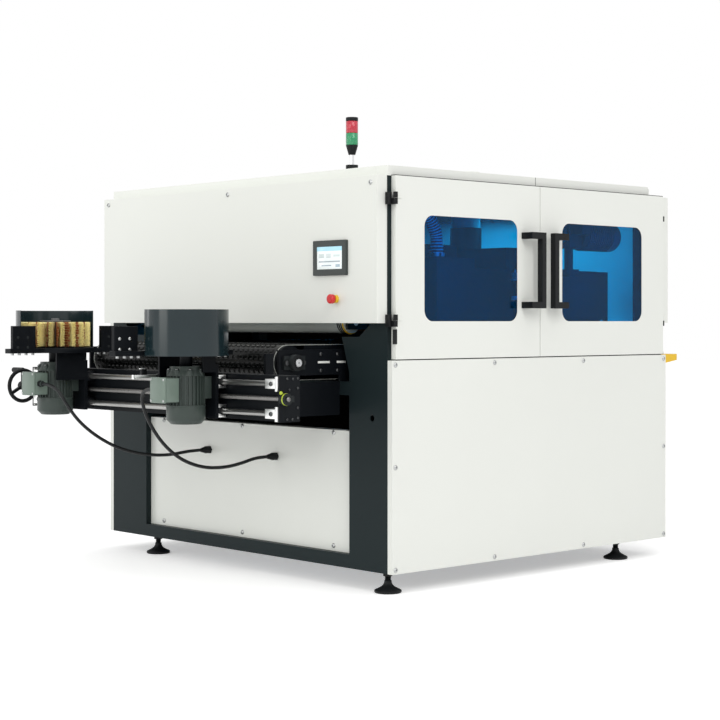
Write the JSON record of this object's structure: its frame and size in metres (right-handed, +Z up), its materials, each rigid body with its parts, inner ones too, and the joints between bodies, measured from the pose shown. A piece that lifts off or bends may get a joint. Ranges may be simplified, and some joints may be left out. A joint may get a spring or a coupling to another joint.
{
  "type": "brush sanding machine",
  "caption": "Through-feed brush sander: panels ride a belt between adjustable upright edge brushes, then under abrasive drums in a cabinet with hinged glazed side doors.",
  "frame": {"origin": "floor level, at the middle of the machine's floor area", "axes": "+Z up, +Y the feed direction from infeed to outfeed, +X to the door side"},
  "size_m": [1.8686, 2.732, 1.751],
  "materials": {
    "anthracite": "satin powder coat",
    "white_sheet": "satin powder coat",
    "white_door": "satin powder coat",
    "blue_pane": "tinted sheet",
    "black_plastic": "moulded",
    "black_gloss": "moulded",
    "green_lens": "ribbed lens",
    "red_lens": "ribbed lens",
    "stop_red": "moulded",
    "yellow_plastic": "moulded",
    "zinc_steel": "zinc plated",
    "bright_steel": "ground",
    "roller_metal": "turned tube",
    "bearing_iron": "painted",
    "motor_grey": "painted finned casting",
    "drive_blue": "painted casting",
    "black_belt": "grip top",
    "grey_rubber": "ground rubber",
    "guard_paint": "textured paint",
    "hub_plastic": "turned",
    "bristle": "stiff fibre",
    "abrasive": "abrasive cloth",
    "drum_cloth": "abrasive cloth and fibre",
    "grey_hose": "ribbed hose",
    "cable_black": "sheathed cable"
  },
  "bodies": {
    "frame": {"frame_posts": "anthracite", "frame_beams": "anthracite", "front_lower_panel": "white_sheet", "side_panels": "white_door", "rear_panels": "white_sheet", "left_windows": "blue_pane", "front_cover": "white_sheet", "roof_covers": "white_sheet", "tower_body": "black_plastic", "tower_green_lens": "green_lens", "tower_red_lens": "red_lens", "hmi_panel": "black_gloss", "stop_collar": "yellow_plastic", "hinge_pins": "black_plastic", "levelling_feet": "zinc_steel", "dust_outlet": "white_sheet", "conveyor_frame": "anthracite", "conveyor_belt": "black_belt", "flange_bearings": "bearing_iron", "conveyor_gear_motor": "drive_blue", "outfeed_box": "yellow_plastic", "cross_rail": "anthracite", "guide_shafts": "bright_steel", "cable_glands": "black_plastic", "lift_jacks": "bearing_iron", "left_motor_cable": "cable_black", "right_motor_cable": "cable_black"},
    "head": {"head_frame": "anthracite", "drum_hoods": "anthracite", "suction_hose": "grey_hose", "drum_motors": "drive_blue"},
    "infeed_roller": {"infeed_press_roller": "grey_rubber"},
    "outfeed_roller": {"outfeed_press_roller": "grey_rubber"},
    "front_abrasive_drum": {"front_drum": "drum_cloth"},
    "rear_abrasive_drum": {"rear_drum": "drum_cloth"},
    "nose_pulley": {"nose_roller": "roller_metal"},
    "drive_pulley": {"drive_roller": "roller_metal"},
    "width_screw": {"lead_screw": "bright_steel", "handwheel": "black_plastic"},
    "emergency_stop": {"stop_button": "stop_red"},
    "front_door_leaf": {"front_door": "white_door", "front_door_window": "blue_pane", "front_door_handle": "black_plastic"},
    "rear_door_leaf": {"rear_door": "white_door", "rear_door_window": "blue_pane", "rear_door_handle": "black_plastic"},
    "left_unit": {"left_carriage": "anthracite", "left_motor": "motor_grey", "left_base_plate": "black_plastic", "left_guard": "guard_paint"},
    "left_brush": {"left_brush_hub": "hub_plastic", "left_brush_bristles": "bristle", "left_brush_flaps": "abrasive"},
    "right_unit": {"right_carriage": "anthracite", "right_motor": "motor_grey", "right_base_plate": "black_plastic", "right_guard": "guard_paint"},
    "right_brush": {"right_brush_hub": "hub_plastic", "right_brush_bristles": "bristle", "right_brush_flaps": "abrasive"}
  },
  "joints": [
    {"name": "head_lift", "type": "slide", "parent": "frame", "child": "head", "axis": [0, 0, 1], "range_m": [-0.03, 0.08]},
    {"name": "infeed_press_roller_spin", "type": "hinge", "parent": "head", "child": "infeed_roller", "pos_m": [0, -0.448, 0.983], "axis": [1, 0, 0], "continuous": true},
    {"name": "outfeed_press_roller_spin", "type": "hinge", "parent": "head", "child": "outfeed_roller", "pos_m": [0, 0.988, 0.983], "axis": [1, 0, 0], "continuous": true},
    {"name": "front_drum_spin", "type": "hinge", "parent": "head", "child": "front_abrasive_drum", "pos_m": [0, -0.05, 1.085], "axis": [1, 0, 0], "continuous": true},
    {"name": "rear_drum_spin", "type": "hinge", "parent": "head", "child": "rear_abrasive_drum", "pos_m": [0, 0.55, 1.085], "axis": [1, 0, 0], "continuous": true},
    {"name": "drive_roller_spin", "type": "hinge", "parent": "frame", "child": "drive_pulley", "pos_m": [0, 1.298, 0.837], "axis": [1, 0, 0], "continuous": true},
    {"name": "nose_roller_spin", "type": "hinge", "parent": "frame", "child": "nose_pulley", "pos_m": [0, -0.758, 0.837], "axis": [1, 0, 0], "continuous": true},
    {"name": "width_screw_turn", "type": "hinge", "parent": "frame", "child": "width_screw", "pos_m": [0, -1, 0.72], "axis": [1, 0, 0], "range_deg": [-5436, 9396]},
    {"name": "left_unit_slide", "type": "slide", "parent": "frame", "child": "left_unit", "axis": [1, 0, 0], "range_m": [-0.15, 0.26], "deforming": ["left_motor_cable"]},
    {"name": "right_unit_slide", "type": "slide", "parent": "frame", "child": "right_unit", "axis": [-1, 0, 0], "range_m": [-0.151, 0.261], "deforming": ["right_motor_cable"]},
    {"name": "left_brush_spin", "type": "hinge", "parent": "left_unit", "child": "left_brush", "pos_m": [-0.43, -1.105, 0], "axis": [0, 0, 1], "continuous": true},
    {"name": "right_brush_spin", "type": "hinge", "parent": "right_unit", "child": "right_brush", "pos_m": [0.43, -1.105, 0], "axis": [0, 0, 1], "continuous": true},
    {"name": "front_door_hinge", "type": "hinge", "parent": "frame", "child": "front_door_leaf", "pos_m": [0.905, -0.523, 0], "axis": [0, 0, -1], "range_deg": [0, 110]},
    {"name": "rear_door_hinge", "type": "hinge", "parent": "frame", "child": "rear_door_leaf", "pos_m": [0.883, 1.063, 0], "axis": [0, 0, 1], "range_deg": [0, 110]},
    {"name": "emergency_stop_push", "type": "slide", "parent": "frame", "child": "emergency_stop", "axis": [0, 1, 0], "range_m": [0, 0.006]}
  ],
  "couplings": [
    {"joint": "nose_roller_spin", "follows": "drive_roller_spin", "ratio": 1},
    {"joint": "width_screw_turn", "follows": "left_unit_slide", "rad_per_m": 628.32},
    {"joint": "right_unit_slide", "follows": "left_unit_slide", "ratio": 1}
  ]
}
